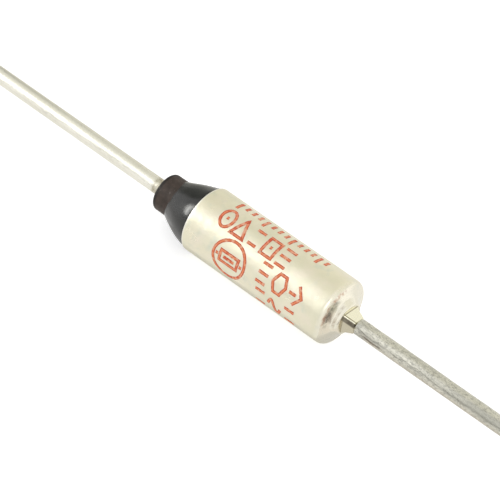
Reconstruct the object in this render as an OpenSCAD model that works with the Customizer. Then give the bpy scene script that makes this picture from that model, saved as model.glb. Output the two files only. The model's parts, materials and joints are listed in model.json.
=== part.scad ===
// Axial thermal fuse with its inner parts, shown before it has tripped.
// The axis lies along X and the origin is the middle of the case's straight wall.
// +X points to the lead that is staked into the closed end of the case.

/* [Case] */
// Outer diameter of the metal case
case_d = 4.2; // [3.6:0.1:5.4]
// Length of the case's straight wall
case_len = 10.1; // [9.6:0.1:16]
// Thickness of the case wall and of the lip turned in over the bushing
case_wall = 0.3; // [0.15:0.05:0.35]
// Rounding of the rim where the lip is turned in
rim_round = 0.06; // [0.03:0.01:0.12]
// Rounding of the shoulder at the closed end
shoulder_round = 0.35; // [0.1:0.05:0.5]
// Slope of the closed end's outer ring, in degrees from a flat end
end_slope = 20; // [10:1:30]
// Diameter of the boss that rises inside that ring
boss_d = 2.7; // [2.4:0.1:3.2]
// Slope of the boss, in degrees from a flat end
boss_slope = 43; // [35:1:50]
// Thickness of the closed end on the axis, from the floor to the foot of the neck
end_wall = 1.1; // [0.9:0.05:1.4]

/* [Staked neck] */
// Width of the square neck at its flared foot, corner to corner
neck_foot_w = 1.86; // [1.7:0.02:2.2]
// Width of the flat ledge on the boss outside the neck's corners
ledge_w = 0.04; // [0.02:0.01:0.1]
// Width of the neck where the flare ends, corner to corner
neck_waist_w = 1.52; // [1.4:0.02:1.64]
// Width of the neck at its tip, corner to corner
neck_tip_w = 1.14; // [1.06:0.02:1.3]
// Height of the flare
neck_flare_h = 0.25; // [0.15:0.05:0.35]
// Length of the neck from its foot to its tip
neck_len = 0.7; // [0.5:0.05:1.2]
// Turn of the neck's corners about the axis, in degrees
neck_turn = 32.4; // [0:0.1:90]

/* [Leads] */
// Diameter of both wire leads
lead_d = 1.0; // [0.8:0.05:1.05]
// Free length of the lead in the closed end of the case
case_lead_len = 25; // [10:1:50]
// Free length of the lead in the bushing
insulated_lead_len = 25; // [10:1:50]
// How much thicker the insulated lead is at the inner end of its taper in the bushing
lead_taper = 0.12; // [0.06:0.02:0.2]
// Diameter of the case lead's shank, squeezed in the staked neck
shank_d = 0.66; // [0.5:0.02:0.68]
// Length over which the case lead narrows to its shank
squeeze_len = 0.1; // [0.05:0.01:0.2]
// Diameter of the flush head that holds the case lead
head_d = 1.8; // [1.5:0.1:2.2]
// Thickness of that head
head_t = 0.35; // [0.2:0.05:0.5]
// Chamfer on the cut ends of the leads
lead_chamfer = 0.08; // [0.02:0.01:0.15]

/* [Bushing and resin] */
// Diameter of the bushing's nose
nose_d = 2.4; // [2.1:0.05:2.6]
// Length of nose that stands out of the resin
nose_out = 0.95; // [0.5:0.05:2]
// Rounding of the nose's outer edge
nose_round = 0.2; // [0.05:0.05:0.4]
// Length of the bushing's collar inside the case
collar_len = 2.2; // [1.6:0.1:3]
// Radial play between the case's bore and what slides or sits in it
bore_play = 0.02; // [0.01:0.01:0.05]
// Width of the ring of resin between the nose and the lip
resin_ring = 0.2; // [0.1:0.01:0.3]
// Length of the resin cone along the axis
resin_len = 2.25; // [1.2:0.05:3]
// How far the foot of the resin stays inside the case's outer diameter
resin_inset = 0.06; // [0.06:0.01:0.15]
// How far the resin bulges beyond a straight cone
resin_bulge = 0.07; // [0.03:0.01:0.15]

/* [Contact and trip spring] */
// Diameter of the contact post on the insulated lead
post_d = 1.4; // [1.3:0.05:1.5]
// Length of the contact post, which is also the trip spring's length
post_len = 1.5; // [1.2:0.1:2]
// Chamfer on the contact post's tip
post_chamfer = 0.15; // [0.05:0.05:0.3]
// Thickness of the star contact
contact_t = 0.15; // [0.1:0.05:0.2]
// Length of the star contact's skirt along the axis
skirt_len = 0.7; // [0.5:0.05:0.9]
// Number of slots that part the skirt into fingers
skirt_slots = 6; // [4:1:10]
// Width of each slot
slot_w = 0.3; // [0.15:0.05:0.5]
// Wire diameter of the trip spring
trip_wire_d = 0.2; // [0.15:0.01:0.22]
// Rise of the trip spring in each open turn
trip_pitch = 0.32; // [0.3:0.02:0.5]
// Radial room between the trip spring and its neighbours
trip_room = 0.1; // [0.05:0.05:0.15]

/* [Pellet and main spring] */
// Length of the thermal pellet
pellet_len = 3.0; // [2:0.1:3.4]
// Chamfer on the pellet's edges
pellet_chamfer = 0.12; // [0.05:0.01:0.2]
// Radial room between the case's bore and the pellet and pressure discs
pellet_room = 0.1; // [0.05:0.05:0.2]
// Thickness of each pressure disc
disc_t = 0.2; // [0.1:0.05:0.3]
// Wire diameter of the main spring
main_wire_d = 0.4; // [0.3:0.02:0.44]
// Rise of the main spring in each open turn
main_pitch = 0.62; // [0.56:0.02:0.8]
// Radial room between the case's bore and the main spring
main_room = 0.3; // [0.15:0.05:0.4]

/* [Hidden] */
$fn = 96;

// Radii
case_r = case_d / 2;
bore_r = case_r - case_wall;
lead_r = lead_d / 2;
taper_r = (lead_d + lead_taper) / 2;
nose_r = nose_d / 2;
lip_r = nose_r + resin_ring;
resin_foot_r = case_r - resin_inset;
boss_r = boss_d / 2;
ledge_r = neck_foot_w / 2 + ledge_w;
shank_r = shank_d / 2;
head_r = head_d / 2;
post_r = post_d / 2;
trip_mean_r = post_r + trip_room + trip_wire_d / 2;
main_mean_r = bore_r - main_room - main_wire_d / 2;
plunger_r = bore_r - pellet_room;

// The slope of the closed end starts this far inside the shoulder's rounding, so that the two cross
tuck = 0.004;

// Stations along X, from the bushing's nose to the tip of the neck
lip_face_x = -case_len / 2 - rim_round;
resin_end_x = lip_face_x - resin_len;
nose_end_x = resin_end_x - nose_out;
collar_x = lip_face_x + case_wall;
bushing_x = collar_x + collar_len;
contact_x = bushing_x + post_len;
spring_disc_x = contact_x + contact_t;
main_start_x = spring_disc_x + disc_t;
shoulder_x = case_len / 2;
slope_r = case_r - shoulder_round + (shoulder_round - tuck) * sin(end_slope);
slope_x = shoulder_x + (shoulder_round - tuck) * cos(end_slope);
boss_x = slope_x + (slope_r - boss_r) * tan(end_slope);
neck_x = boss_x + (boss_r - ledge_r) * tan(boss_slope);
neck_tip_x = neck_x + neck_len;
floor_x = neck_x - end_wall;
pellet_x = floor_x - pellet_len;
main_end_x = pellet_x - disc_t;

// Margin by which a cut passes the surface that it opens
cut = 0.5;
// Distance from the axis to the flats of a square, as a share of its width corner to corner
to_flat = cos(45) / 2;

// Turns a half profile of [radius, x] about the X axis
module about_x() {
    rotate([0, 90, 0]) rotate_extrude() children();
}

// A round plate with a named span along X
module plate(r, x0, x1) {
    translate([x0, 0, 0]) rotate([0, 90, 0]) cylinder(r = r, h = x1 - x0);
}

// Rise of a closed-end spring's wire, in turns from its nearer end: flat, then up by one wire
function end_rise(turn, wire_d) = let (flat = 0.6, up = 1.06 * wire_d)
    turn <= flat ? 0 : up * min(1, (turn - flat) / (1 - flat));

// Compression spring along X with closed ends, its wire swept as rings of flats
module spring(mean_r, wire_d, pitch, x0, x1) {
    sides = 8;
    rings_per_turn = 20;
    flat_r = wire_d / 2 / cos(180 / sides);
    rise = x1 - x0 - wire_d;
    open_turns = (rise - 2 * end_rise(1, wire_d)) / pitch;
    turns = open_turns + 2;
    rings = ceil(turns * rings_per_turn);
    function height(t) = end_rise(t, wire_d) + end_rise(1, wire_d) - end_rise(turns - t, wire_d)
        + pitch * max(0, min(open_turns, t - 1));
    points = [
        for (i = [0 : rings], k = [0 : sides - 1])
        let (
            t = turns * i / rings,
            a = 360 * t,
            b = 360 * (k + 0.5) / sides,
            r = mean_r + flat_r * cos(b)
        )
        [x0 + wire_d / 2 + height(t) + flat_r * sin(b), r * cos(a), r * sin(a)]
    ];
    walls = [
        for (i = [0 : rings - 1], k = [0 : sides - 1])
        let (a = i * sides, b = a + sides, n = (k + 1) % sides)
        each [[a + k, b + k, b + n], [a + k, b + n, a + n]]
    ];
    first_end = [for (k = [0 : sides - 1]) k];
    last_end = [for (k = [sides - 1 : -1 : 0]) rings * sides + k];
    polyhedron(points, concat(walls, [first_end, last_end]));
}

// Square neck pressed by staking: two flared prisms crossed at right angles
module neck() {
    foot = neck_foot_w * to_flat;
    waist = neck_waist_w * to_flat;
    tip = neck_tip_w * to_flat;
    // The flare runs on below the foot, inside the boss
    root_depth = end_wall / 4;
    root = foot + (foot - waist) * root_depth / neck_flare_h;
    side = [[neck_x - root_depth, root], [neck_x + neck_flare_h, waist], [neck_tip_x, tip]];
    other_side = [for (i = [len(side) - 1 : -1 : 0]) [side[i].x, -side[i].y]];
    rotate([neck_turn + 45, 0, 0])
    intersection_for(turn = [0, 90]) {
        rotate([turn, 0, 0])
        linear_extrude(height = 4 * root, center = true)
        polygon(concat(side, other_side));
    }
}

// Half profile of the cup's outside: rounded rim and shoulder, sloped ring, boss and ledge
module cup_profile() {
    polygon([
        [0, lip_face_x],
        [case_r - rim_round, lip_face_x],
        [case_r - rim_round, -shoulder_x],
        [case_r, -shoulder_x],
        [case_r, shoulder_x],
        [case_r - shoulder_round, shoulder_x],
        [slope_r, slope_x],
        [boss_r, boss_x],
        [ledge_r, neck_x],
        [0, neck_x]
    ]);
    translate([case_r - rim_round, -shoulder_x]) circle(r = rim_round);
    translate([case_r - shoulder_round, shoulder_x]) circle(r = shoulder_round);
}

// Drawn cup: lip turned in over the bushing, closed end with a boss and staked neck
module case() {
    color("#E6E1CF")
    difference() {
        union() {
            about_x() cup_profile();
            neck();
        }
        plate(bore_r, collar_x, floor_x);
        plate(lip_r, lip_face_x - cut, collar_x + cut);
        plate(head_r, floor_x - cut, floor_x + head_t);
        plate(shank_r, floor_x - cut, neck_tip_x + cut);
    }
}

// Head flush with the floor, thin shank through the staked neck and free wire
module case_lead() {
    end_x = neck_tip_x + case_lead_len;
    color("#C6C1B0")
    about_x()
    polygon([
        [0, floor_x],
        [head_r, floor_x],
        [head_r, floor_x + head_t],
        [shank_r, floor_x + head_t],
        [shank_r, neck_tip_x],
        [lead_r - squeeze_len, neck_tip_x],
        [lead_r, neck_tip_x + squeeze_len],
        [lead_r, end_x - lead_chamfer],
        [lead_r - lead_chamfer, end_x],
        [0, end_x]
    ]);
}

// Contact post in the case, tapered shank through the bushing and free wire
module insulated_lead_shape() {
    end_x = nose_end_x - insulated_lead_len;
    about_x()
    polygon([
        [0, contact_x],
        [post_r - post_chamfer, contact_x],
        [post_r, contact_x - post_chamfer],
        [post_r, bushing_x],
        [taper_r, bushing_x],
        [lead_r, nose_end_x],
        [lead_r, end_x + lead_chamfer],
        [lead_r - lead_chamfer, end_x],
        [0, end_x]
    ]);
}

module insulated_lead() {
    color("#D8D5CA") insulated_lead_shape();
}

// Ceramic bushing: collar held under the lip, nose out to the lead
module bushing() {
    color("#3A241C")
    difference() {
        about_x() {
            polygon([
                [0, nose_end_x],
                [nose_r - nose_round, nose_end_x],
                [nose_r - nose_round, nose_end_x + nose_round],
                [nose_r, nose_end_x + nose_round],
                [nose_r, collar_x],
                [bore_r - bore_play, collar_x],
                [bore_r - bore_play, bushing_x],
                [0, bushing_x]
            ]);
            translate([nose_r - nose_round, nose_end_x + nose_round]) circle(r = nose_round);
        }
        insulated_lead_shape();
    }
}

// Resin cone on the lip, its outline an arc that bulges beyond the straight cone
module sealing_resin() {
    chord_r = resin_foot_r - nose_r;
    chord = norm([chord_r, resin_len]);
    arc_r = chord * chord / 8 / resin_bulge + resin_bulge / 2;
    out = [resin_len / chord, -chord_r / chord];
    mid = [(resin_foot_r + nose_r) / 2, (lip_face_x + resin_end_x) / 2];
    color("#26272A")
    about_x() {
        intersection() {
            translate([nose_r, resin_end_x - cut]) square([case_r, lip_face_x - resin_end_x + cut]);
            translate(mid - out * (arc_r - resin_bulge)) circle(r = arc_r);
        }
        translate([nose_r, lip_face_x - resin_ring]) square([resin_ring, case_wall + resin_ring]);
    }
}

// Solid pellet that melts at the rated temperature, seated on the case's floor
module pellet() {
    color("#DDE3E0")
    about_x()
    polygon([
        [0, pellet_x],
        [plunger_r - pellet_chamfer, pellet_x],
        [plunger_r, pellet_x + pellet_chamfer],
        [plunger_r, floor_x - pellet_chamfer],
        [plunger_r - pellet_chamfer, floor_x],
        [0, floor_x]
    ]);
}

module pellet_disc() {
    color("#BFC2C4") plate(plunger_r, main_end_x, pellet_x);
}

module main_spring() {
    color("#8E9296") spring(main_mean_r, main_wire_d, main_pitch, main_start_x, main_end_x);
}

module spring_disc() {
    color("#BFC2C4") plate(plunger_r, spring_disc_x, main_start_x);
}

// Dished contact whose slotted skirt opens towards the bushing and slides on the case's bore
module star_contact() {
    base_r = trip_mean_r + trip_wire_d / 2 + trip_room + contact_t;
    rim_r = bore_r - bore_play;
    rim_x = spring_disc_x - skirt_len;
    color("#D9D9D6")
    difference() {
        about_x()
        polygon([
            [0, contact_x],
            [base_r - contact_t, contact_x],
            [rim_r - contact_t, rim_x],
            [rim_r, rim_x],
            [base_r, spring_disc_x],
            [0, spring_disc_x]
        ]);
        for (i = [0 : skirt_slots - 1])
        rotate([360 * i / skirt_slots, 0, 0])
        translate([rim_x - cut, base_r, -slot_w / 2])
        cube([skirt_len + 2 * cut, bore_r, slot_w]);
    }
}

module trip_spring() {
    color("#9A9DA0") spring(trip_mean_r, trip_wire_d, trip_pitch, bushing_x, contact_x);
}

case();
case_lead();
insulated_lead();
bushing();
sealing_resin();
pellet();
pellet_disc();
main_spring();
spring_disc();
star_contact();
trip_spring();
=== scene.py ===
"""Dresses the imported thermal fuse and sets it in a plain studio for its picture."""

import json
import math

import bmesh
import bpy
from mathutils import Matrix, Vector, noise


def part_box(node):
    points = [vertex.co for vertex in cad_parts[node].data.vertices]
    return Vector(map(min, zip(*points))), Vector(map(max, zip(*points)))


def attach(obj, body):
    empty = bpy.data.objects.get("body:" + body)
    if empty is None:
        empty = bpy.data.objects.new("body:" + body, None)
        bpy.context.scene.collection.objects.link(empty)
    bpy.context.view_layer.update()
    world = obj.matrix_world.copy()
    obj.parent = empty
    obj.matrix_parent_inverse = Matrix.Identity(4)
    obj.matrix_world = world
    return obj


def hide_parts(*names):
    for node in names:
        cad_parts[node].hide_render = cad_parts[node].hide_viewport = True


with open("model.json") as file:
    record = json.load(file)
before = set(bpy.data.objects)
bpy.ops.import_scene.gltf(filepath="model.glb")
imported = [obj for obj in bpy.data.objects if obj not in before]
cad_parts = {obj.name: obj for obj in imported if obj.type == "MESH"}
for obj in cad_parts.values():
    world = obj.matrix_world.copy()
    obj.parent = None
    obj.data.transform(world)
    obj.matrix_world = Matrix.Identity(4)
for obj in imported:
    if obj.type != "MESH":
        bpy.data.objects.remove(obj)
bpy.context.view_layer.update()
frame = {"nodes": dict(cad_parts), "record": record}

MM = 0.001

# Main sizes, in millimetres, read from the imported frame
mounts = {mount["name"]: mount for mount in frame["record"]["mounts"]}
CASE_R = mounts["case_body"]["dims"]["r_mm"]
WALL_END = mounts["case_body"]["dims"]["length_mm"] / 2
LEAD_R = mounts["case_lead_wire"]["dims"]["r_mm"]


def span(node):
    """Lowest and highest x of a CAD node, in millimetres."""
    low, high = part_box(node)
    return low.x / MM, high.x / MM


def radius_between(node, x0, x1):
    """Largest distance from the axis of a CAD node's points between two stations."""
    points = [vertex.co / MM for vertex in frame["nodes"][node].data.vertices]
    return max(math.hypot(p.y, p.z) for p in points if x0 <= p.x <= x1)


LIP_FACE, NECK_TIP = span("case")
RESIN_END, COLLAR = span("sealing_resin")
NOSE_END, BUSHING_END = span("bushing")
FLOOR_X, CASE_LEAD_END = span("case_lead")
INSULATED_LEAD_END, CONTACT_X = span("insulated_lead")
NOSE_R = radius_between("bushing", NOSE_END, RESIN_END)
COLLAR_R = radius_between("bushing", COLLAR, BUSHING_END)
POST_R = radius_between("insulated_lead", BUSHING_END, CONTACT_X)
BORE_R = CASE_R - (COLLAR - LIP_FACE)
RIM_ROUND = -WALL_END - LIP_FACE

# Finer sizes of the solids, in millimetres and degrees
SHOULDER_ROUND = 0.35
END_SLOPE = 20.0
BOSS_R = 1.35
LEDGE_R = 0.97
NECK_FOOT_R = 0.93
NECK_WAIST_R = 0.76
NECK_TIP_R = 0.57
NECK_FLARE = 0.25
NECK_LEN = 0.7
HEAD_R = 0.9
HEAD_T = 0.35
SHANK_R = 0.33
SQUEEZE = 0.1
LEAD_CHAMFER = 0.08
LEAD_TAPER = 0.12
POST_CHAMFER = 0.15
NOSE_ROUND = 0.2
RESIN_RING = 0.2
RESIN_INSET = 0.06
RESIN_BULGE = 0.07

# Sizes that follow from those
LIP_R = NOSE_R + RESIN_RING
RESIN_FOOT_R = CASE_R - RESIN_INSET
LEAD_TAPER_R = LEAD_R + LEAD_TAPER / 2
NECK_FOOT = NECK_TIP - NECK_LEN
SLOPE_START = WALL_END + SHOULDER_ROUND * math.cos(math.radians(END_SLOPE))

# Edges softened beyond the solids, and the hollow of the neck's faces, in millimetres
BOSS_EASE = 0.1
LEDGE_ROUND = 0.05
NECK_BLUNT = 0.035
NECK_HOLLOW = 0.03
WAIST_ROUND = 0.06
WAIST_CLEAR = 0.1
TIP_ROUND = 0.03

# Faint turned rings on the closed end, in millimetres
RING_DEPTH = 0.0012
RING_PITCH = 0.17

# Unevenness of the surfaces: depth and bump size, in millimetres, and seed
WALL_RIPPLE = (0.004, 1.8, 4.0)
INSULATED_LEAD_RIPPLE = (0.004, 1.4, 21.0)
NOSE_RIPPLE = (0.008, 0.7, 31.0)
RESIN_EDGE_RIPPLE = (0.05, 0.6, 17.0)
RESIN_RIPPLE = (0.04, 1.5, 41.0)

# Bruises of the case lead, in millimetres: deepest at the neck, with their bump size and seed
BRUISE = 0.006
NECK_BRUISE = 0.02
BRUISE_FADE = 2.5
BRUISE_BUMPS = (0.8, 12.0)

# Poured resin, in millimetres: it sags towards the lower side, starts later on the near side of the
# nose, and is rounder at its foot over part of the near side
RESIN_SAG = 0.06
RESIN_LATE = 0.3
FOOT_ROUND = 0.06
FOOT_ROUND_LEN = 1.1
FOOT_ROUND_TURN = math.radians(6)
FOOT_ROUND_SPREAD = math.radians(28)

# Angles round the axis are counted from the neck's front corner, and grow down the side that faces
# the camera
FRONT_TURN = math.radians(122.4)

# Meshes: sides in a full turn, and the distance in metres within which points are made one
SIDES = 256
MERGE_DISTANCE = 1e-8

# Camera: it looks down on the closed end. Its distance, shifts, lens and sensor are in millimetres,
# and the nearest and farthest things that it shows are in metres
VIEW_AZIMUTH = math.radians(42.28)
VIEW_HEIGHT = math.radians(50.34)
VIEW_DISTANCE = 180.8
VIEW_RIGHT = -1.211
VIEW_UP = 0.858
LENS = 227.0
SENSOR = 36.0
NEAREST = 0.01
FARTHEST = 10.0


def on_part(x, r, angle):
    """A point of the part, in metres, from its station, radius and angle, in millimetres."""
    turn = FRONT_TURN + angle
    return Vector((x, r * math.cos(turn), r * math.sin(turn))) * MM


def arc(x, r, radius, start, end, steps):
    """Points on an arc in the half profile, from one angle to another, in degrees from +x."""
    angles = [math.radians(start + (end - start) * i / steps) for i in range(steps + 1)]
    return [(x + radius * math.cos(a), r + radius * math.sin(a)) for a in angles]


def line(start, end, steps):
    """Points on a straight stretch of the half profile, without its last point."""
    shares = [i / steps for i in range(steps)]
    return [tuple(a + (b - a) * share for a, b in zip(start, end)) for share in shares]


def bend(start, corner, end, steps):
    """Points on a smooth bend that leaves and meets its two legs along them."""
    points = []
    for i in range(steps + 1):
        u = i / steps
        weights = ((1 - u) ** 2, 2 * u * (1 - u), u * u)
        points.append(tuple(
            weights[0] * a + weights[1] * b + weights[2] * c
            for a, b, c in zip(start, corner, end)
        ))
    return points


def toward(start, end, distance):
    """The point at a distance from start on the way to end."""
    length = math.dist(start, end)
    return tuple(a + (b - a) * distance / length for a, b in zip(start, end))


def wrapped(angle):
    """The same angle between minus half a turn and half a turn."""
    return (angle + math.pi) % (2 * math.pi) - math.pi


def ripple(x, angle, depth, size, seed):
    """Smooth unevenness of a surface, up to about the given depth, with bumps of the given size."""
    point = Vector((x, CASE_R * math.cos(angle), CASE_R * math.sin(angle))) / size
    return depth * noise.noise(point + Vector((seed, seed * 0.37, -seed * 0.61)))


def lathe(profile_at, closed):
    """A mesh turned about the axis from a half profile that may change with the angle."""
    bm = bmesh.new()
    columns = []
    for side in range(SIDES):
        angle = 2 * math.pi * side / SIDES
        columns.append([bm.verts.new(on_part(x, r, angle)) for x, r in profile_at(angle)])
    count = len(columns[0])
    last = count if closed else count - 1
    for side, column in enumerate(columns):
        following = columns[(side + 1) % SIDES]
        for i in range(last):
            j = (i + 1) % count
            bm.faces.new((column[i], column[j], following[j], following[i]))
    bmesh.ops.remove_doubles(bm, verts=bm.verts, dist=MERGE_DISTANCE)
    return bm


def add_piece(name, bm, material, replaced=None, sharp_angle=40):
    """Turns a bmesh into a piece of the part that rides on its one body."""
    bmesh.ops.recalc_face_normals(bm, faces=bm.faces)
    mesh = bpy.data.meshes.new(name)
    bm.to_mesh(mesh)
    bm.free()
    mesh.polygons.foreach_set("use_smooth", [True] * len(mesh.polygons))
    mesh.set_sharp_from_angle(angle=math.radians(sharp_angle))
    mesh.materials.append(material)
    piece = bpy.data.objects.new(name, mesh)
    bpy.context.scene.collection.objects.link(piece)
    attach(piece, "root")
    if replaced:
        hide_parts(replaced)


class Shader:
    """A Principled material with short ways to feed its sockets from procedural nodes."""

    def __init__(self, name, **values):
        self.material = bpy.data.materials.new(name)
        self.material.use_nodes = True
        self.tree = self.material.node_tree
        self.surface = self.tree.nodes["Principled BSDF"]
        self.place = self.add("ShaderNodeTexCoord").outputs["Object"]
        for socket, value in values.items():
            self.surface.inputs[socket.replace("_", " ")].default_value = value

    def add(self, kind):
        """A new node of the given kind."""
        return self.tree.nodes.new(kind)

    def join(self, output, socket):
        """Links a node's output to another node's socket."""
        self.tree.links.new(output, socket)

    def noise(self, size, stretch=1.0, detail=4.0, seed=0.0):
        """Noise with patches of a size, in millimetres, drawn out along the axis by stretch."""
        mapping = self.add("ShaderNodeMapping")
        across = 1 / (size * MM)
        mapping.inputs["Scale"].default_value = (1 / (size * stretch * MM), across, across)
        mapping.inputs["Location"].default_value = (seed, seed * 1.7, -seed)
        texture = self.add("ShaderNodeTexNoise")
        texture.inputs["Scale"].default_value = 1.0
        texture.inputs["Detail"].default_value = detail
        self.join(self.place, mapping.inputs["Vector"])
        self.join(mapping.outputs["Vector"], texture.inputs["Vector"])
        return texture.outputs[0]

    def along(self):
        """Station along the axis, in metres."""
        node = self.add("ShaderNodeSeparateXYZ")
        self.join(self.place, node.inputs["Vector"])
        return node.outputs["X"]

    def beside(self):
        """Distance below the plane through the axis and the neck's front corner, in metres."""
        node = self.add("ShaderNodeVectorMath")
        node.operation = "DOT_PRODUCT"
        node.inputs[1].default_value = on_part(0.0, 1 / MM, math.pi / 2)
        self.join(self.place, node.inputs[0])
        return node.outputs["Value"]

    def spread(self, value, low, high, start=0.3, end=0.7):
        """Takes a value from the range start to end to the range low to high, and holds it there."""
        node = self.add("ShaderNodeMapRange")
        node.inputs["From Min"].default_value = start
        node.inputs["From Max"].default_value = end
        node.inputs["To Min"].default_value = low
        node.inputs["To Max"].default_value = high
        self.join(value, node.inputs["Value"])
        return node.outputs["Result"]

    def band(self, value, low, high, soft):
        """1 between two limits, given in millimetres, with soft edges outside them."""
        rise = self.spread(value, 0.0, 1.0, (low - soft) * MM, low * MM)
        return self.scale(rise, self.spread(value, 1.0, 0.0, high * MM, (high + soft) * MM))

    def reckon(self, operation, first, second):
        """One node's output and another's, put together by a sum or a product."""
        node = self.add("ShaderNodeMath")
        node.operation = operation
        self.join(first, node.inputs[0])
        self.join(second, node.inputs[1])
        return node.outputs["Value"]

    def scale(self, value, factor):
        """One node's output times another's."""
        return self.reckon("MULTIPLY", value, factor)

    def sum(self, first, second):
        """One node's output plus another's."""
        return self.reckon("ADD", first, second)

    def mix(self, share, first, second):
        """Blends two colours, either of which may be another node's output."""
        node = self.add("ShaderNodeMix")
        node.data_type = "RGBA"
        self.join(share, node.inputs["Factor"])
        for socket, colour in ((node.inputs[6], first), (node.inputs[7], second)):
            if isinstance(colour, tuple):
                socket.default_value = (*colour, 1.0)
            else:
                self.join(colour, socket)
        return node.outputs[2]

    def bump(self, height, depth, below=None):
        """Fine relief of the given depth, in millimetres, over another relief where there is one."""
        node = self.add("ShaderNodeBump")
        node.inputs["Strength"].default_value = 1.0
        node.inputs["Distance"].default_value = depth * MM
        self.join(height, node.inputs["Height"])
        if below is not None:
            self.join(below, node.inputs["Normal"])
        return node.outputs["Normal"]

    def feed(self, **outputs):
        """Links node outputs to the surface's sockets."""
        for socket, output in outputs.items():
            self.join(output, self.surface.inputs[socket.replace("_", " ")])
        return self.material


# Case: the colours of its plating, how much paler and smoother its closed end is, and the worn rim, whose
# pale band is also a painted highlight along its edge
PLATING = {
    "warm": (0.855, 0.805, 0.63),
    "clouded": (0.77, 0.745, 0.58),
    "stained": (0.71, 0.715, 0.585),
    "blushed": (0.85, 0.79, 0.65),
    "closed_end": (0.88, 0.845, 0.73),
    "worn_and_highlit": (0.98, 0.96, 0.90),
}
END_PALE = 0.7
END_POLISH = 0.7
RIM_WEAR_AND_HIGHLIGHT = 0.14

# Painted shade and reflection on the closed end, from its shoulder inwards, as patchy darker rings:
# stations from the start of the slope and reach below the neck's front corner, both as start, end and
# soft edge in millimetres, then the size and seed of its patches, the limits that spread them, and their
# colour
END_PAINTED_SHADE = [
    {
        "stations": (-0.02, 0.03, 0.05),
        "reach": (-1.0, 1.0, 0.4),
        "patches": (0.3, 21.0),
        "limits": (0.0, 0.8, 0.4, 0.64),
        "tint": (0.48, 0.27, 0.175),
    },
    {
        "stations": (0.05, 0.1, 0.04),
        "reach": (-0.35, 0.95, 0.35),
        "patches": (0.2, 23.0),
        "limits": (0.15, 0.85, 0.4, 0.62),
        "tint": (0.34, 0.33, 0.27),
    },
    {
        "stations": (0.11, 0.15, 0.03),
        "reach": (-0.4, 0.45, 0.3),
        "patches": (0.15, 27.0),
        "limits": (0.1, 0.6, 0.38, 0.62),
        "tint": (0.49, 0.465, 0.38),
    },
    {
        "stations": (0.3, 0.37, 0.05),
        "reach": (-0.3, 0.75, 0.25),
        "patches": (0.25, 29.0),
        "limits": (0.15, 0.75, 0.38, 0.6),
        "tint": (0.52, 0.45, 0.35),
    },
]

# Rubbed faces and painted light on the neck: the rubbed faces are paler also as a painted highlight, and
# there is painted shade on its lower side, in the crease at its foot and above its ridge, and a painted
# reflection of shade below its ridge. Start, end and soft edge in millimetres, the first two along it from
# its foot and the others below its front corner, and their colours
NECK_MARKED_SPAN = (0.02, NECK_LEN, 0.04)
NECK_CREASE = (0.01, 0.03, 0.012)
NECK_LOWER_SIDE = (0.05, NECK_FOOT_R, 0.03)
NECK_BELOW_RIDGE = (0.05, 0.24, 0.07)
NECK_ABOVE_RIDGE = (-0.09, -0.055, 0.02)
LOWER_SIDE_SHARE = 0.75
NECK_TINTS = {
    "rubbed_and_highlit": (0.93, 0.90, 0.72),
    "shaded_lower_side": (0.48, 0.43, 0.32),
    "crease_shade": (0.28, 0.24, 0.15),
    "shade_above_ridge": (0.30, 0.26, 0.17),
    "reflected_shade_below_ridge": (0.10, 0.085, 0.062),
}


def stations_from(origin, band):
    """A band that is given from one station, counted from the part's origin instead."""
    start, end, soft = band
    return origin + start, origin + end, soft


def end_painted_shade(shader, colour, stations, reach, patches, limits, tint):
    """Adds to a colour one patchy ring of painted shade that covers part of a turn of the closed end."""
    size, seed = patches
    painted_shade_ring = shader.band(shader.along(), *stations_from(SLOPE_START, stations))
    painted_shade_ring = shader.scale(painted_shade_ring, shader.band(shader.beside(), *reach))
    painted_shade_ring = shader.scale(painted_shade_ring, shader.spread(shader.noise(size, detail=5.0, seed=seed), *limits))
    return shader.mix(painted_shade_ring, colour, tint)


def neck_rubbing_and_painted_shade(shader, colour):
    """Adds to a colour the neck's rubbed faces, paler also as a painted highlight, and painted shade on
    its lower side, in its crease and above its ridge, with a painted reflection of shade below the ridge.
    """
    on_neck = shader.band(shader.along(), *stations_from(NECK_FOOT, NECK_MARKED_SPAN))
    crease_shade = shader.band(shader.along(), *stations_from(NECK_FOOT, NECK_CREASE))
    below = shader.beside()
    # Painted shade: the neck's lower side, the crease at its foot, a band above its ridge, and below it a
    # painted reflection of shade
    shaded_lower_side = shader.scale(on_neck, shader.band(below, *NECK_LOWER_SIDE))
    shaded_lower_side = shader.scale(shaded_lower_side, shader.spread(on_neck, 0.0, LOWER_SIDE_SHARE, 0.0, 1.0))
    shade_above_ridge = shader.scale(on_neck, shader.band(below, *NECK_ABOVE_RIDGE))
    reflected_shade_below_ridge = shader.scale(on_neck, shader.band(below, *NECK_BELOW_RIDGE))
    uneven = shader.spread(shader.noise(0.3, seed=6.0), 0.7, 1.0)
    # Paler rubbed faces, which also paint the neck's highlight
    colour = shader.mix(on_neck, colour, NECK_TINTS["rubbed_and_highlit"])
    colour = shader.mix(shaded_lower_side, colour, NECK_TINTS["shaded_lower_side"])
    colour = shader.mix(shader.scale(crease_shade, uneven), colour, NECK_TINTS["crease_shade"])
    colour = shader.mix(shader.scale(shade_above_ridge, uneven), colour, NECK_TINTS["shade_above_ridge"])
    return shader.mix(shader.scale(reflected_shade_below_ridge, uneven), colour, NECK_TINTS["reflected_shade_below_ridge"])


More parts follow.
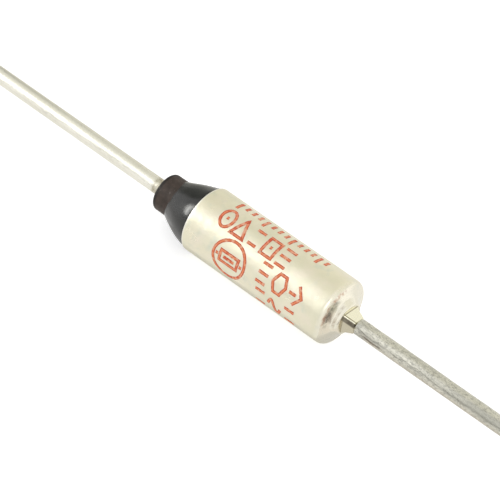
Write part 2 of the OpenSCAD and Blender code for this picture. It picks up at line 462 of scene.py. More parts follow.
def case_metal():
    """Satin plated case: warm silver with clouds and stains, a worn rim with a painted highlight, painted
    shade and reflection on the closed end, a painted highlight and shade on the neck, and drawing marks.
    """
    shader = Shader("case_metal", Metallic=1.0)
    clouds = shader.spread(shader.noise(1.6, seed=3.0), 0.0, 1.0)
    stains = shader.spread(shader.noise(0.7, detail=6.0, seed=8.0), 0.0, 1.0, 0.55, 0.75)
    blush = shader.spread(shader.noise(1.1, detail=5.0, seed=14.0), 0.0, 1.0, 0.5, 0.72)
    on_wall = shader.spread(shader.along(), 1.0, 0.0, WALL_END * MM, (WALL_END + SHOULDER_ROUND) * MM)
    on_end = shader.spread(on_wall, END_PALE, 0.0, 0.0, 1.0)
    on_rim = shader.spread(shader.along(), 1.0, 0.0, LIP_FACE * MM, (LIP_FACE + RIM_WEAR_AND_HIGHLIGHT) * MM)
    colour = shader.mix(clouds, PLATING["warm"], PLATING["clouded"])
    colour = shader.mix(stains, colour, PLATING["stained"])
    colour = shader.mix(blush, colour, PLATING["blushed"])
    colour = shader.mix(on_end, colour, PLATING["closed_end"])
    # Paler band at the rim: worn plating, and a painted highlight along its edge
    colour = shader.mix(on_rim, colour, PLATING["worn_and_highlit"])
    # Patchy rings of painted shade and reflection on the closed end
    for painted_shade_ring in END_PAINTED_SHADE:
        colour = end_painted_shade(shader, colour, **painted_shade_ring)
    colour = neck_rubbing_and_painted_shade(shader, colour)
    wobble = shader.noise(0.9, detail=3.0, seed=17.0)
    drawn = shader.noise(0.05, stretch=30.0, detail=3.0, seed=1.0)
    grain = shader.noise(0.03, detail=2.0, seed=5.0)
    relief = shader.bump(shader.scale(wobble, on_wall), 0.045)
    relief = shader.bump(shader.scale(drawn, on_wall), 0.0008, relief)
    relief = shader.bump(grain, 0.0006, relief)
    roughness = shader.spread(clouds, 0.26, 0.42, 0.0, 1.0)
    roughness = shader.scale(roughness, shader.spread(on_wall, END_POLISH, 1.0, 0.0, 1.0))
    return shader.feed(Base_Color=colour, Roughness=roughness, Normal=relief)


# Tin: the colours of its marks, with painted shade for the case lead's far end and, in the smear at the
# bushing, painted shade and reflection
TIN_MARKS = {
    "spots": (0.36, 0.355, 0.32),
    "pits": (0.31, 0.305, 0.265),
    "score": (0.16, 0.15, 0.12),
    "painted_far_shade": (0.37, 0.365, 0.315),
    "smear_and_shade": (0.42, 0.38, 0.28),
}

# Places of those marks, in millimetres: the score and the painted shade lie below the plane of the neck's
# front corner, the score wavers, and the painted shade comes on along the case lead towards its far end
SCORE = (0.165, 0.18, 0.04)
SCORE_WAVER = 0.1
SHADE = (-0.1, 0.2, 0.12)
SHADE_START = 11.0
SHADE_FULL = 16.0
SHADE_SHARE = 0.75
SMEAR_LEN = 0.6
SMEAR_SOFT = 0.2


def tinned_wire(name, bright, dull, seed, scored, rough, dented):
    """Tinned wire: drawn lines, duller patches of aged tin, spots, pits and dents, a dark score
    along it, painted shade on the case lead's far end, and a smear on the other lead where it leaves the
    bushing, partly painted shade and reflection of the bushing."""
    shader = Shader(name, Metallic=1.0)
    patches = shader.spread(shader.noise(0.5, stretch=5.0, seed=seed), 0.0, 1.0)
    spots = shader.noise(0.16, stretch=2.5, seed=seed + 10.0)
    pits = shader.noise(0.09, stretch=1.8, seed=seed + 16.0)
    colour = shader.mix(patches, bright, dull)
    colour = shader.mix(shader.spread(spots, 0.0, dented, 0.5, 0.65), colour, TIN_MARKS["spots"])
    colour = shader.mix(shader.spread(pits, 0.0, 1.2 * dented, 0.5, 0.64), colour, TIN_MARKS["pits"])
    waver = shader.noise(0.4, stretch=2.5, detail=5.0, seed=seed + 6.0)
    waver = shader.spread(waver, -SCORE_WAVER * MM, SCORE_WAVER * MM)
    broken = shader.spread(shader.noise(0.4, stretch=4.0, seed=seed + 8.0), 0.2, scored)
    score = shader.scale(shader.band(shader.sum(shader.beside(), waver), *SCORE), broken)
    colour = shader.mix(score, colour, TIN_MARKS["score"])
    # Painted shade towards the far end of the case lead
    far = shader.spread(shader.along(), 0.0, SHADE_SHARE, SHADE_START * MM, SHADE_FULL * MM)
    painted_far_shade = shader.scale(shader.band(shader.beside(), *SHADE), far)
    colour = shader.mix(painted_far_shade, colour, TIN_MARKS["painted_far_shade"])
    # Smear where the lead leaves the bushing, partly painted shade and reflection of the brown bushing
    blotches = shader.spread(shader.noise(0.25, seed=seed + 14.0), 0.3, 1.0)
    at_bushing = shader.band(shader.along(), NOSE_END - SMEAR_LEN, NOSE_END, SMEAR_SOFT)
    colour = shader.mix(shader.scale(at_bushing, blotches), colour, TIN_MARKS["smear_and_shade"])
    dents = shader.noise(0.2, stretch=2.0, detail=3.0, seed=seed + 12.0)
    drawn = shader.noise(0.035, stretch=60.0, detail=3.0, seed=seed + 2.0)
    grain = shader.noise(0.05, seed=seed + 4.0)
    relief = shader.bump(dents, 0.02 * dented)
    relief = shader.bump(drawn, 0.0015, relief)
    relief = shader.bump(grain, 0.001 + 0.006 * dented, relief)
    roughness = shader.spread(grain, *rough)
    return shader.feed(Base_Color=colour, Roughness=roughness, Normal=relief)


# Bushing: its colours, and a darker ring on its rounded edge, in millimetres from its end
CERAMIC = {
    "dark": (0.037, 0.025, 0.018),
    "light": (0.072, 0.048, 0.037),
    "chipped": (0.16, 0.13, 0.11),
    "darker_end_edge": (0.014, 0.009, 0.007),
}
DARK_END_EDGE_RING = (0.05, NOSE_ROUND, 0.12)


def bushing_ceramic():
    """Dark brown ceramic: matt, mottled, with a few pale chips and a darker edge at its end."""
    shader = Shader("bushing_ceramic", Specular_IOR_Level=0.3)
    mottle = shader.spread(shader.noise(0.35, detail=6.0, seed=2.0), 0.0, 1.0)
    chips = shader.spread(shader.noise(0.14, detail=3.0, seed=11.0), 0.0, 1.0, 0.66, 0.74)
    darker_end_edge = shader.band(shader.along(), *stations_from(NOSE_END, DARK_END_EDGE_RING))
    colour = shader.mix(mottle, CERAMIC["dark"], CERAMIC["light"])
    colour = shader.mix(chips, colour, CERAMIC["chipped"])
    colour = shader.mix(darker_end_edge, colour, CERAMIC["darker_end_edge"])
    grain = shader.noise(0.06, detail=5.0, seed=6.0)
    roughness = shader.spread(grain, 0.42, 0.6)
    return shader.feed(Base_Color=colour, Roughness=roughness, Normal=shader.bump(grain, 0.006))


def black_resin():
    """Cast resin: black and glossy, with a faintly uneven skin and a little dust."""
    shader = Shader("black_resin", Coat_Weight=0.25, Coat_Roughness=0.2)
    black = (0.003, 0.003, 0.002)
    greyer = (0.012, 0.012, 0.009)
    clouds = shader.spread(shader.noise(0.8, seed=4.0), 0.0, 1.0)
    skin = shader.noise(0.25, detail=3.0, seed=9.0)
    dust = shader.noise(0.04, detail=2.0, seed=7.0)
    relief = shader.bump(dust, 0.0012, shader.bump(skin, 0.006))
    colour = shader.mix(clouds, black, greyer)
    roughness = shader.spread(clouds, 0.2, 0.28, 0.0, 1.0)
    return shader.feed(Base_Color=colour, Roughness=roughness, Normal=relief)


# Ink: its colours in the middle and at the edge of a stroke, where it is heavy and where it is thin
INK = {
    "middle": (0.97, 0.29, 0.125),
    "edge": (0.60, 0.045, 0.022),
    "heavy": (0.72, 0.07, 0.03),
    "thin": (0.97, 0.52, 0.33),
}


def red_ink():
    """Stamped ink: red-orange, pressed out to the edges of its strokes and thin in places."""
    shader = Shader("red_ink", Specular_IOR_Level=0.3)
    edge = shader.add("ShaderNodeAttribute")
    edge.attribute_name = "edge"
    at_edge = shader.spread(edge.outputs["Fac"], 0.0, 1.0, 0.35, 0.85)
    heavy = shader.spread(shader.noise(0.4, detail=5.0, seed=12.0), 0.0, 0.7, 0.52, 0.66)
    thin = shader.spread(shader.noise(0.22, detail=5.0, seed=5.0), 0.0, 0.9, 0.5, 0.63)
    colour = shader.mix(at_edge, INK["middle"], INK["edge"])
    colour = shader.mix(heavy, colour, INK["heavy"])
    colour = shader.mix(thin, colour, INK["thin"])
    grain = shader.noise(0.05, detail=3.0, seed=2.0)
    roughness = shader.spread(grain, 0.55, 0.7)
    return shader.feed(Base_Color=colour, Roughness=roughness, Normal=shader.bump(grain, 0.002))


def inner_metal(name, bright, dull, size):
    """Stamped or drawn metal of the parts inside the case, with patches of the given size."""
    shader = Shader(name, Metallic=1.0)
    patches = shader.spread(shader.noise(size, seed=1.0), 0.0, 1.0)
    colour = shader.mix(patches, bright, dull)
    grain = shader.noise(0.05, seed=3.0)
    roughness = shader.spread(grain, 0.25, 0.4)
    return shader.feed(Base_Color=colour, Roughness=roughness, Normal=shader.bump(grain, 0.001))


def pellet_wax():
    """Pressed organic pellet: pale, waxy and grainy."""
    shader = Shader("pellet_wax")
    patches = shader.spread(shader.noise(0.4, detail=6.0, seed=1.0), 0.0, 1.0)
    colour = shader.mix(patches, (0.70, 0.75, 0.72), (0.78, 0.81, 0.78))
    grain = shader.noise(0.08, seed=3.0)
    roughness = shader.spread(grain, 0.5, 0.7)
    return shader.feed(Base_Color=colour, Roughness=roughness, Normal=shader.bump(grain, 0.006))


def shoulder_arc():
    """Rounded shoulder in the half profile, from the wall to the start of the slope."""
    return arc(WALL_END, CASE_R - SHOULDER_ROUND, SHOULDER_ROUND, 90, END_SLOPE, steps=18)


def slope_station(r):
    """Station on the closed end at a radius: a flatter ring, then a steeper boss under the neck."""
    start_x, start_r = shoulder_arc()[-1]
    ring = math.tan(math.radians(END_SLOPE))
    boss_x = start_x + (start_r - BOSS_R) * ring
    boss = (NECK_FOOT - boss_x) / (BOSS_R - LEDGE_R)
    inward = BOSS_R - r
    eased = (inward + math.hypot(inward, BOSS_EASE)) / 2
    return start_x + (start_r - r) * ring + eased * (boss - ring)


def turned_ring(r):
    """Height of the faint turned rings on the closed end at a radius."""
    return RING_DEPTH * math.sin(2 * math.pi * r / RING_PITCH)


def neck_radius(corner_r, hollow, angle):
    """Radius of the square neck at an angle: its faces may be hollow and its corners are blunt."""
    quarter = math.pi / 2
    from_corner = (angle + quarter / 2) % quarter - quarter / 2
    off_middle = quarter / 2 - abs(from_corner)
    flat = corner_r * math.cos(quarter / 2)
    sunk = hollow * (1 - math.tan(off_middle) ** 2)
    face = (flat - sunk) / math.cos(off_middle)
    blunt = (corner_r - NECK_BLUNT) / math.cos(from_corner)
    return min(face, blunt)


def neck_profile(angle):
    """Half profile of the closed end from its boss to the neck's tip, at an angle."""
    ledge = (NECK_FOOT, LEDGE_R)
    foot = (NECK_FOOT, neck_radius(NECK_FOOT_R, 0.0, angle))
    waist = (NECK_FOOT + NECK_FLARE, neck_radius(NECK_WAIST_R, NECK_HOLLOW, angle))
    tip = (NECK_TIP, neck_radius(NECK_TIP_R, NECK_HOLLOW / 2, angle))
    before = (slope_station(LEDGE_R + LEDGE_ROUND), LEDGE_R + LEDGE_ROUND)
    after = toward(ledge, foot, min(LEDGE_ROUND, math.dist(ledge, foot) / 2))
    into_waist = toward(waist, foot, WAIST_ROUND)
    out_of_waist = toward(waist, tip, WAIST_ROUND)
    into_tip = toward(tip, waist, TIP_ROUND)
    inside = (NECK_TIP, tip[1] - TIP_ROUND)
    return (
        bend(before, ledge, after, steps=5)
        + line(foot, into_waist, steps=4)
        + bend(into_waist, waist, out_of_waist, steps=4)
        + line(toward(waist, tip, WAIST_CLEAR), into_tip, steps=4)
        + bend(into_tip, tip, inside, steps=4)
    )


def case_shell():
    """Drawn cup: turned lip, straight wall, rounded shoulder, sloped end and staked neck."""
    rim = arc(-WALL_END, CASE_R - RIM_ROUND, RIM_ROUND, 180, 90, steps=6)
    shoulder = shoulder_arc()
    inside = [
        (NECK_TIP, SHANK_R),
        (FLOOR_X + HEAD_T, SHANK_R),
        (FLOOR_X + HEAD_T, HEAD_R),
        (FLOOR_X, HEAD_R),
        (FLOOR_X, BORE_R),
        (COLLAR, BORE_R),
        (COLLAR, LIP_R),
        (LIP_FACE, LIP_R),
    ]

    def profile(angle):
        wall = line((-WALL_END, CASE_R), (WALL_END, CASE_R), steps=56)[1:]
        wall = [(x, r + ripple(x, angle, *WALL_RIPPLE)) for x, r in wall]
        neck = neck_profile(angle)
        slope = line(shoulder[-1], neck[0], steps=48)[1:]
        slope = [(slope_station(r) + turned_ring(r), r) for _, r in slope]
        return rim + wall + shoulder + slope + neck + inside

    add_piece("case_shell", lathe(profile, closed=True), case_metal(), "case")


def case_lead_wire():
    """Wire staked into the closed end, squeezed where it enters the neck."""
    full = (NECK_TIP + SQUEEZE, LEAD_R)
    end = (CASE_LEAD_END - LEAD_CHAMFER, LEAD_R)
    tip = [end, (CASE_LEAD_END, LEAD_R - LEAD_CHAMFER), (CASE_LEAD_END, 0.0)]
    hidden = [
        (FLOOR_X, 0.0),
        (FLOOR_X, HEAD_R),
        (FLOOR_X + HEAD_T, HEAD_R),
        (FLOOR_X + HEAD_T, SHANK_R),
        (NECK_TIP, SHANK_R),
        (NECK_TIP, LEAD_R - SQUEEZE),
    ]

    def profile(angle):
        wire = []
        for x, r in line(full, end, steps=160):
            bruise = BRUISE + NECK_BRUISE * math.exp(-(x - NECK_TIP) / BRUISE_FADE)
            wire.append((x, r + ripple(x, angle, bruise, *BRUISE_BUMPS)))
        return hidden + wire + tip

    tin = tinned_wire(
        "case_lead_tin",
        bright=(0.74, 0.72, 0.625),
        dull=(0.57, 0.56, 0.485),
        seed=3.0,
        scored=0.8,
        rough=(0.22, 0.38),
        dented=0.5,
    )
    add_piece("case_lead_wire", lathe(profile, closed=False), tin, "case_lead")


def insulated_lead_wire():
    """Wire through the bushing, with the contact post inside the case."""
    full = (NOSE_END, LEAD_R)
    end = (INSULATED_LEAD_END + LEAD_CHAMFER, LEAD_R)
    tip = [end, (INSULATED_LEAD_END, LEAD_R - LEAD_CHAMFER), (INSULATED_LEAD_END, 0.0)]
    hidden = [
        (CONTACT_X, 0.0),
        (CONTACT_X, POST_R - POST_CHAMFER),
        (CONTACT_X - POST_CHAMFER, POST_R),
        (BUSHING_END, POST_R),
        (BUSHING_END, LEAD_TAPER_R),
    ]

    def profile(angle):
        wire = line(full, end, steps=120)
        wire = [(x, r + ripple(x, angle, *INSULATED_LEAD_RIPPLE)) for x, r in wire]
        return hidden + wire + tip

    tin = tinned_wire(
        "insulated_lead_tin",
        bright=(0.88, 0.86, 0.77),
        dull=(0.80, 0.78, 0.68),
        seed=9.0,
        scored=0.2,
        rough=(0.24, 0.40),
        dented=0.05,
    )
    add_piece("insulated_lead_wire", lathe(profile, closed=False), tin, "insulated_lead")


def bushing_body():
    """Ceramic bushing: rounded nose outside the resin, collar under the lip."""
    edge = arc(NOSE_END + NOSE_ROUND, NOSE_R - NOSE_ROUND, NOSE_ROUND, 180, 90, steps=10)
    face = line((NOSE_END, LEAD_R), edge[0], steps=8)
    inside = [
        (COLLAR, NOSE_R),
        (COLLAR, COLLAR_R),
        (BUSHING_END, COLLAR_R),
        (BUSHING_END, LEAD_TAPER_R),
    ]

    def profile(angle):
        nose = line(edge[-1], (RESIN_END + RESIN_LATE, NOSE_R), steps=14)[1:]
        nose = [(x, r + ripple(x, angle, *NOSE_RIPPLE)) for x, r in nose]
        return face + edge + nose + inside

    add_piece("bushing_body", lathe(profile, closed=True), bushing_ceramic(), "bushing")


def resin_seal():
    """Resin cone: poured by hand, so its flank and its edge on the nose are uneven."""
    foot = (LIP_FACE, RESIN_FOOT_R)
    inside = [foot, (LIP_FACE, LIP_R), (COLLAR, LIP_R), (COLLAR, NOSE_R)]

    def profile(angle):
        near = max(0.0, math.cos(angle)) ** 2
        late = RESIN_LATE * near + ripple(0.0, angle, *RESIN_EDGE_RIPPLE)
        start = (RESIN_END + max(0.0, late), NOSE_R)
        chord = math.dist(start, foot)
        out = (-(foot[1] - start[1]) / chord, (foot[0] - start[0]) / chord)
        from_round = wrapped(angle - FOOT_ROUND_TURN) / FOOT_ROUND_SPREAD
        rounded = FOOT_ROUND * math.exp(-(from_round ** 2))
        flank = []
        for x, r in line(start, foot, steps=48):
            share = (x - start[0]) / (foot[0] - start[0])
            to_foot = (1 - share) * chord / FOOT_ROUND_LEN
            bulge = RESIN_BULGE + RESIN_SAG * math.sin(angle) + ripple(x, angle, *RESIN_RIPPLE)
            bulge = 4 * share * (1 - share) * bulge + rounded * to_foot * math.exp(1 - to_foot)
            flank.append((x + out[0] * bulge, r + out[1] * bulge))
        return flank + inside

    add_piece("resin_seal", lathe(profile, closed=True), black_resin(), "sealing_resin")


def dress_inner_parts():
    """Gives the solids inside the case their materials."""
    disc = inner_metal("disc_metal", bright=(0.62, 0.63, 0.64), dull=(0.52, 0.53, 0.55), size=0.4)
    steel = inner_metal("spring_steel", bright=(0.46, 0.47, 0.49), dull=(0.36, 0.37, 0.39), size=0.3)
    silver = inner_metal("contact_silver", bright=(0.82, 0.82, 0.80), dull=(0.72, 0.72, 0.69), size=0.5)
    finishes = {
        "pellet": pellet_wax(),
        "pellet_disc": disc,
        "spring_disc": disc,
        "main_spring": steel,
        "trip_spring": steel,
        "star_contact": silver,
    }
    for node, material in finishes.items():
        mesh = frame["nodes"][node].data
        mesh.materials.clear()
        mesh.materials.append(material)


# Ink strokes, in millimetres: width, height over the wall, depth in it and spacing of their points
STROKE = 0.19
INK_TOP = 0.012
INK_SUNK = 0.006
STROKE_STEP = 0.06
DOT_LEN = 0.16
WAVE_STEPS = 24
SAME_POINT = 1e-6

# Edges of the strokes: share by which their width varies, bumps in a millimetre, their seed, and the
# limit that keeps mitred corners short
EDGE_UNEVEN = 0.16
EDGE_BUMPS = 7.0
EDGE_SEED = 2.0
MITRE_LIMIT = 0.5

# Rows of marks: angle in degrees, then first station and pitch in millimetres
TICK_ROW = (-59, -3.2, 0.5)
SIGN_ROW = (-23, -3.0, 1.1)
ARROW_ROW = (17, 0.85, 1.2)
WAVE_ROW = (60, 1.0, 1.1)
SYMBOL_PLACE = (33, -1.57, 0.0)

# Tick scale, in millimetres across its row
TICKS = 14
LONG_TICK_EVERY = 4
LONG_TICK_END = -0.4
SHORT_TICK_END = -0.1
TICK_START = 0.4


# Each mark is a list of strokes, and each stroke a list of points, u along the axis and v across it
def dash_mark(start, end):
    """A level dash from one u to another."""
    return [[(start, 0.0), (end, 0.0)]]


def dot_mark():
    """A dash about as long as it is wide."""
    return dash_mark(-DOT_LEN / 2, DOT_LEN / 2)


def ring_mark(width, height, corners=40):
    """A closed ring, or a polygon where it has few corners."""
    turns = [2 * math.pi * i / corners for i in range(corners + 1)]
    return [[(0.5 * width * math.cos(a), 0.5 * height * math.sin(a)) for a in turns]]


def square_mark(width, height):
    """An upright rectangle."""
    u = 0.5 * width
    v = 0.5 * height
    return [[(-u, -v), (u, -v), (u, v), (-u, v), (-u, -v)]]


def triangle_mark(width, height):
    """A triangle that stands on its base."""
    u = 0.5 * width
    v = 0.5 * height
    return [[(-u, -v), (u, -v), (0.0, v), (-u, -v)]]


def wave_mark(width, height):
    """One full wave."""
    shares = [i / WAVE_STEPS for i in range(WAVE_STEPS + 1)]
    return [[((s - 0.5) * width, 0.3 * height * math.sin(2 * math.pi * s)) for s in shares]]


def bars_mark(width, height, count):
    """Level bars stacked across the row."""
    rows = [height * (i / (count - 1) - 0.5) for i in range(count)]
    return [[(-0.5 * width, v), (0.5 * width, v)] for v in rows]


def arrow_mark(width, height):
    """A short shaft and, clear of it, an arrow head."""
    tip = 0.5 * width
    neck = 0.05 * width
    return dash_mark(-tip, neck) + [[(0.0, 0.5 * height), (tip, 0.0), (0.0, -0.5 * height)]]


def tick_mark(index):
    """One tick of a scale that has a long tick first and then at even steps."""
    end = LONG_TICK_END if index % LONG_TICK_EVERY == 0 else SHORT_TICK_END
    return [[(0.0, end), (0.0, TICK_START)]]


def fuse_symbol():
    """The drawing symbol of a fuse in a ring: a box with a wire through it."""
    wire = dash_mark(-0.4, 0.4) + dash_mark(-0.98, -0.8) + dash_mark(0.8, 0.98)
    return ring_mark(2.3, 2.3) + square_mark(1.3, 0.66) + wire


def resampled(points):
    """The same polyline with points close enough together to wrap round the case."""
    dense = []
    for start, end in zip(points, points[1:]):
        steps = max(1, round(math.dist(start, end) / STROKE_STEP))
        dense += line(start, end, steps)
    return dense + [points[-1]]


def is_closed(points):
    """Whether a polyline ends where it starts."""
    return math.dist(points[0], points[-1]) < SAME_POINT


def stroke_sides(points, width):
    """Left and right edges of a stroke, mitred at its corners and slightly uneven."""
    left = []
    right = []
    closed = is_closed(points)
    for i, (u, v) in enumerate(points):
        before = points[i - 1] if i else points[-2] if closed else points[0]
        after = points[i + 1] if i + 1 < len(points) else points[1] if closed else points[-1]
        first = Vector((u - before[0], v - before[1]))
        second = Vector((after[0] - u, after[1] - v))
        first = first.normalized() if first.length > 0 else second.normalized()
        second = second.normalized() if second.length > 0 else first
        side = Vector((-(first + second).y, (first + second).x)).normalized()
        reach = width / 2 / max(MITRE_LIMIT, side.dot(Vector((-first.y, first.x))))
        bump = noise.noise(Vector((u * EDGE_BUMPS, v * EDGE_BUMPS, EDGE_SEED)))
        rough = 1 + EDGE_UNEVEN * bump
        left.append((u + side.x * reach * rough, v + side.y * reach * rough))
        right.append((u - side.x * reach * rough, v - side.y * reach * rough))
    return left, right


def add_stroke(bm, points, x, angle):
    """One closed strip of ink on the case, its centre line given in the plane of the wall."""
    dense = resampled(points)
    left, right = stroke_sides(dense, STROKE)
    edge = bm.verts.layers.float["edge"]
    top = CASE_R + INK_TOP
    low = CASE_R - INK_SUNK

    def lay(point, r, at_edge):
        vertex = bm.verts.new(on_part(x + point[0], r, angle - point[1] / CASE_R))
        vertex[edge] = at_edge
        return vertex

    rows = []
    for on_left, middle, on_right in zip(left, dense, right):
        rows.append((
            lay(on_left, low, 1.0),
            lay(on_left, top, 1.0),
            lay(middle, top, 0.0),
            lay(on_right, top, 1.0),
            lay(on_right, low, 1.0),
        ))
    for a, b in zip(rows, rows[1:]):
        for i in range(len(a)):
            j = (i + 1) % len(a)
            bm.faces.new((a[i], a[j], b[j], b[i]))
    if not is_closed(points):
        bm.faces.new(rows[0])
        bm.faces.new(rows[-1][::-1])


def case_print():
    """Plain red marks stamped on the case: a tick scale, rows of simple signs and a fuse symbol."""
    bm = bmesh.new()
    bm.verts.layers.float.new("edge")

    def stamp(row, marks):
        angle, start, pitch = row
        for i, strokes in enumerate(marks):
            for points in strokes:
                add_stroke(bm, points, start + pitch * i, math.radians(angle))

    stamp(TICK_ROW, [tick_mark(i) for i in range(TICKS)])
    stamp(SIGN_ROW, [
        ring_mark(0.85, 1.2) + dot_mark(),
        triangle_mark(0.9, 1.2),
        bars_mark(0.6, 1.0, count=2),
        square_mark(0.8, 1.15) + dot_mark(),
        bars_mark(0.75, 1.15, count=3),
    ])
    stamp(ARROW_ROW, [
        bars_mark(0.7, 1.15, count=3),
        ring_mark(0.95, 1.3, corners=6),
        arrow_mark(0.9, 1.2),
    ])
    stamp(WAVE_ROW, [
        bars_mark(0.7, 1.0, count=2),
        wave_mark(0.9, 1.4),
        bars_mark(0.7, 1.0, count=2),
    ])
    stamp(SYMBOL_PLACE, [fuse_symbol()])
    bmesh.ops.remove_doubles(bm, verts=bm.verts, dist=MERGE_DISTANCE)
    add_piece("case_print", bm, red_ink(), sharp_angle=60)


# Studio, in metres and watts
WHITE = (1.0, 1.0, 1.0)
COOL_WHITE = (0.86, 0.93, 1.0)
AMBIENT = 0.70
FLOOR_SIZE = 3.0
FLOOR_GREY = (0.9, 0.9, 0.9)
FLOOR_ROUGHNESS = 0.9
FLOOR_LIFT = 0.50
SOFTBOX_AT = (-0.102, -0.064, 0.083)
SOFTBOX_SIZE = (0.12, 0.048)
SOFTBOX_POWER = 0.007
TOP_LIGHT_AT = (0.13, -0.08, 0.13)
TOP_LIGHT_SIZE = (0.09, 0.09)
TOP_LIGHT_POWER = 0.035
SPARK_AT = (-0.195, -0.083, 0.113)
SPARK_SIZE = (0.08, 0.12)
SPARK_GLOW = (13.0, 13.0, 12.4)


def rectangle(x0, x1, y0, y1):
    """Corners of a level rectangle."""
    return [(x0, y0), (x1, y0), (x1, y1), (x0, y1)]


def panel(x0, x1, low, high):
    """Corners of a panel from x0 to x1, its low and high edges each given by y and z."""
    return [(x0, *low), (x1, *low), (x1, *high), (x0, *high)]


def facing_axis(location):
    """A placement at a location, with -z towards the part's axis and x along it."""
    back = Vector((0.0, location[1], location[2])).normalized()
    along = Vector((1.0, 0.0, 0.0))
    turn = Matrix((along, back.cross(along), back)).transposed().to_4x4()
    return Matrix.Translation(location) @ turn


def facing_panel(location, size):
    """Corners of a panel at a location that faces the part's axis."""
    width, height = size
    place = facing_axis(location)
    corners = rectangle(-width / 2, width / 2, -height / 2, height / 2)
    return [place @ Vector((u, v, 0.0)) for u, v in corners]


# Cards over the floor: lift in millimetres, colour, and corners in millimetres
FLOOR_CARDS = {
    "pale_card": (0.02, (0.95, 0.94, 0.92), rectangle(-90, 90, -90, 90)),
    "beige_card": (0.1, (0.86, 0.81, 0.76), rectangle(6.7, 34, -2.2, 2.4)),
    # Grey card under the case: a painted shadow where the case meets the floor, seen in its reflection
    "contact_shadow_card": (0.1, (0.66, 0.65, 0.63), rectangle(-8, 6.6, -2.5, 0)),
    # Small dark brown card beside the case lead: painted shade, which the closed end's ring reflects as a
    # dark band
    "lead_shade_card": (2.01, (0.20, 0.15, 0.125), [
        (6.72, -1.62), (7.2, -1.55), (8.2, -1.15), (8.7, -0.78), (7.9, -0.55), (7.4, -0.68), (6.72, -1.08),
    ]),
    "left_floor_card": (0.1, (0.72, 0.71, 0.64), rectangle(-60, -10, 0.3, 60)),
    "bounce_card": (0.1, (1.15, 1.14, 1.12), rectangle(11, 40, 3.6, 20)),
}

# Cards round the part: colour, and corners in metres
ROUND_CARDS = {
    "back_card": ((0.93, 0.92, 0.85), panel(-0.4, 0.4, (0.2, 0.0), (0.12, 0.3))),
    "left_card": ((0.78, 0.77, 0.70), panel(-0.4, -0.106, (0.199, 0.0), (0.119, 0.3))),
    "over_card": ((0.87, 0.865, 0.81), panel(-0.4, 0.0, (0.119, 0.3), (-0.02, 0.36))),
    "dark_card": ((0.35, 0.36, 0.33), [
        (-0.064, 0.077, -0.002), (-0.097, 0.026, -0.002), (-0.097, 0.026, 0.055), (-0.064, 0.077, 0.055),
    ]),
    "spark_card": (SPARK_GLOW, facing_panel(SPARK_AT, SPARK_SIZE)),
    "front_card": ((0.66, 0.66, 0.64), panel(-0.027, 0.03, (-0.05, 0.006), (-0.05, 0.0155))),
}


def plain_object(name, bm, material):
    """A stage object, which is not part of the fuse."""
    mesh = bpy.data.meshes.new(name)
    bm.to_mesh(mesh)
    bm.free()
    mesh.materials.append(material)
    piece = bpy.data.objects.new(name, mesh)
    bpy.context.scene.collection.objects.link(piece)
    return piece


def seen_directly(tree):
    """1 for what the camera, reflections and glass show, and 0 for the light that falls on things."""
    path = tree.nodes.new("ShaderNodeLightPath")
    total = path.outputs["Is Camera Ray"]
    for ray in ("Is Glossy Ray", "Is Transmission Ray"):
        node = tree.nodes.new("ShaderNodeMath")
        node.operation = "MAXIMUM"
        tree.links.new(total, node.inputs[0])
        tree.links.new(path.outputs[ray], node.inputs[1])
        total = node.outputs["Value"]
    return total


def white_floor():
    """Pale floor under the case, lifted to white where no shadow falls on it."""
    material = bpy.data.materials.new("floor")
    material.use_nodes = True
    tree = material.node_tree
    surface = tree.nodes["Principled BSDF"]
    surface.inputs["Base Color"].default_value = (*FLOOR_GREY, 1.0)
    surface.inputs["Roughness"].default_value = FLOOR_ROUGHNESS
    surface.inputs["Emission Color"].default_value = (*WHITE, 1.0)
    lift = tree.nodes.new("ShaderNodeMath")
    lift.operation = "MULTIPLY"
    lift.inputs[1].default_value = FLOOR_LIFT
    tree.links.new(seen_directly(tree), lift.inputs[0])
    tree.links.new(lift.outputs["Value"], surface.inputs["Emission Strength"])
    bm = bmesh.new()
    bmesh.ops.create_grid(bm, x_segments=1, y_segments=1, size=FLOOR_SIZE / 2)
    floor = plain_object("floor", bm, material)
    floor.location.z = -CASE_R * MM


def studio_world():
    """White surroundings that light the part at a plain level."""
    world = bpy.data.worlds.new("studio")
    bpy.context.scene.world = world
    world.use_nodes = True
    tree = world.node_tree
    ambient = tree.nodes["Background"]
    ambient.inputs["Color"].default_value = (*WHITE, 1.0)
    ambient.inputs["Strength"].default_value = AMBIENT
    white = tree.nodes.new("ShaderNodeBackground")
    white.inputs["Color"].default_value = (*WHITE, 1.0)
    white.inputs["Strength"].default_value = 1.0
    blend = tree.nodes.new("ShaderNodeMixShader")
    tree.links.new(seen_directly(tree), blend.inputs["Fac"])
    tree.links.new(ambient.outputs["Background"], blend.inputs[1])
    tree.links.new(white.outputs["Background"], blend.inputs[2])
    tree.links.new(blend.outputs["Shader"], tree.nodes["World Output"].inputs["Surface"])


def soft_light(name, location, size, power, colour):
    """A soft panel of light that faces the part."""
    light = bpy.data.lights.new(name, "AREA")
    light.color = colour
    light.shape = "RECTANGLE"
    light.size, light.size_y = size
    light.energy = power
    lamp = bpy.data.objects.new(name, light)
    lamp.matrix_world = facing_axis(location)
    bpy.context.scene.collection.objects.link(lamp)


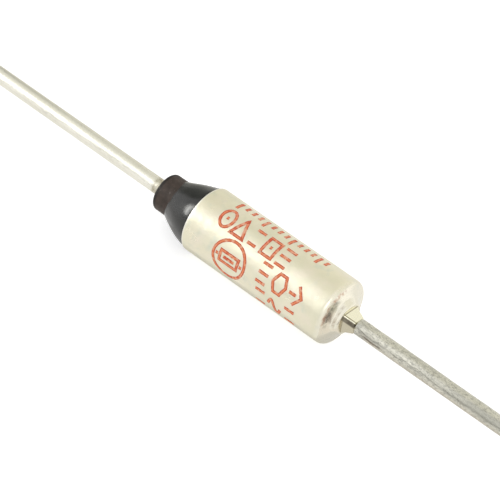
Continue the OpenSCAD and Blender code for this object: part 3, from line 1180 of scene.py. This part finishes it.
def card_material(name, colour):
    """Plain card that glows at its own colour."""
    material = bpy.data.materials.new(name)
    material.use_nodes = True
    tree = material.node_tree
    glow = tree.nodes.new("ShaderNodeEmission")
    glow.inputs["Color"].default_value = (*colour, 1.0)
    tree.links.new(glow.outputs["Emission"], tree.nodes["Material Output"].inputs["Surface"])
    return material


def studio_card(name, corners, colour):
    """A card beside the part, which metal and gloss reflect and nothing else shows."""
    bm = bmesh.new()
    bm.faces.new([bm.verts.new(Vector(corner)) for corner in corners])
    card = plain_object(name, bm, card_material(name, colour))
    card.visible_camera = False
    card.visible_diffuse = False
    card.visible_shadow = False
    card.visible_transmission = False


def studio_cards():
    """Cards that shape what metal and gloss reflect: level ones below, and panels round the part."""
    for name, (lift, colour, corners) in FLOOR_CARDS.items():
        z = (lift - CASE_R) * MM
        studio_card(name, [(x * MM, y * MM, z) for x, y in corners], colour)
    for name, (colour, corners) in ROUND_CARDS.items():
        studio_card(name, corners, colour)


def view_axes():
    """Unit vectors towards the camera, to its right and up."""
    back = Vector((
        math.sin(VIEW_AZIMUTH) * math.cos(VIEW_HEIGHT),
        -math.cos(VIEW_AZIMUTH) * math.cos(VIEW_HEIGHT),
        math.sin(VIEW_HEIGHT),
    ))
    right = Vector((0, 0, 1)).cross(back).normalized()
    return back, right, back.cross(right)


def photo_camera():
    """Camera at the photograph's viewing angle."""
    back, right, up = view_axes()
    data = bpy.data.cameras.new("photo_camera")
    data.lens = LENS
    data.sensor_width = SENSOR
    data.clip_start = NEAREST
    data.clip_end = FARTHEST
    camera = bpy.data.objects.new("photo_camera", data)
    turn = Matrix((right, up, back)).transposed().to_4x4()
    place = (back * VIEW_DISTANCE + right * VIEW_RIGHT + up * VIEW_UP) * MM
    camera.matrix_world = Matrix.Translation(place) @ turn
    bpy.context.scene.collection.objects.link(camera)
    bpy.context.scene.camera = camera


photo_camera()
case_shell()
case_lead_wire()
insulated_lead_wire()
bushing_body()
resin_seal()
case_print()
dress_inner_parts()
white_floor()
studio_world()
studio_cards()
soft_light("softbox", SOFTBOX_AT, SOFTBOX_SIZE, SOFTBOX_POWER, COOL_WHITE)
soft_light("top_light", TOP_LIGHT_AT, TOP_LIGHT_SIZE, TOP_LIGHT_POWER, WHITE)
bpy.context.scene.view_settings.view_transform = "Standard"
